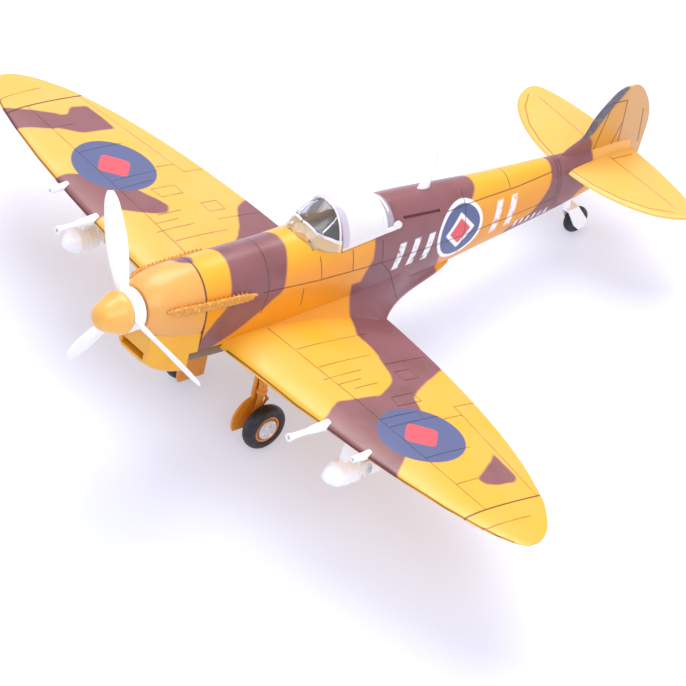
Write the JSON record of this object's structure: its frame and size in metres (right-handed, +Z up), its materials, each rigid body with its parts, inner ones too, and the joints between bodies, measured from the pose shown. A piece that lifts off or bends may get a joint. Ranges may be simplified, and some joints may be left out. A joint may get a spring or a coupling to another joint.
{
  "type": "model aeroplane",
  "caption": "Single-seat elliptical-wing fighter plane as a snap-together display model, standing on its wheels, with a sliding hood and turning propeller and wheels.",
  "frame": {"origin": "middle of the bounding box on the ground, between the main wheels and the tail wheel", "axes": "+X towards the port wing tip, -Y towards the nose, +Z up; the model stands tail-down"},
  "size_m": [0.2334, 0.1956, 0.0844],
  "materials": {
    "camouflage": "satin, warm yellow with mauve-brown camouflage bands",
    "yellow": "satin moulded yellow",
    "olive": "olive brown",
    "white": "white",
    "clear": "clear, polished",
    "cockpit_grey": "dull grey",
    "bronze": "dull gold",
    "dark_mesh": "dark",
    "tyre_black": "black, slightly worn",
    "silver": "mottled silver"
  },
  "bodies": {
    "airframe": {"nose_cowling": "camouflage", "fuselage_left": "camouflage", "fuselage_right": "camouflage", "wing_upper_left": "camouflage", "wing_upper_right": "camouflage", "wing_tip_left": "camouflage", "wing_tip_right": "camouflage", "tailplane_left": "camouflage", "tailplane_right": "camouflage", "tail_fin": "camouflage", "chin_intake": "yellow", "firewall": "yellow", "wing_spar": "yellow", "wing_lower_left": "yellow", "wing_lower_right": "yellow", "gear_leg_left": "yellow", "gear_leg_right": "yellow", "gear_door_left": "yellow", "gear_door_right": "yellow", "belly_panel": "olive", "nose_bush": "white", "aerial_mast": "white", "tail_fork": "white", "cannon_barrel_left": "white", "cannon_barrel_right": "white", "cannon_stub_left": "white", "cannon_stub_right": "white", "bomb_left": "white", "bomb_right": "white", "bomb_rack_left": "white", "bomb_rack_right": "white", "windscreen": "clear", "rear_window": "clear", "cockpit_tub": "cockpit_grey", "pilot_seat": "cockpit_grey", "instrument_panel": "cockpit_grey", "control_stick": "cockpit_grey", "head_armour": "cockpit_grey", "exhaust_left": "bronze", "exhaust_right": "bronze", "intake_mesh": "dark_mesh"},
    "airscrew": {"spinner": "yellow", "propeller": "white", "prop_shaft": "white", "shaft_collar": "white"},
    "wheel_left": {"tyre_left": "tyre_black", "wheel_rim_left": "yellow", "hub_cap_left": "silver"},
    "wheel_right": {"tyre_right": "tyre_black", "wheel_rim_right": "yellow", "hub_cap_right": "silver"},
    "tail_wheel": {"tail_tyre": "tyre_black", "tail_hub": "white"},
    "hood": {"canopy_hood": "clear"}
  },
  "joints": [
    {"name": "prop_spin", "type": "hinge", "parent": "airframe", "child": "airscrew", "pos_m": [0, -0.08745, 0.0553], "axis": [0, 0.9809, -0.1945], "continuous": true},
    {"name": "wheel_left_spin", "type": "hinge", "parent": "airframe", "child": "wheel_left", "pos_m": [0.0173, -0.05262, 0.0068], "axis": [1, 0, 0], "continuous": true},
    {"name": "wheel_right_spin", "type": "hinge", "parent": "airframe", "child": "wheel_right", "pos_m": [-0.0173, -0.05262, 0.0068], "axis": [1, 0, 0], "continuous": true},
    {"name": "tail_wheel_spin", "type": "hinge", "parent": "airframe", "child": "tail_wheel", "pos_m": [0, 0.07305, 0.0041], "axis": [1, 0, 0], "continuous": true},
    {"name": "canopy_slide", "type": "slide", "parent": "airframe", "child": "hood", "axis": [0, 0.9941, -0.1083], "range_m": [0, 0.011]}
  ]
}
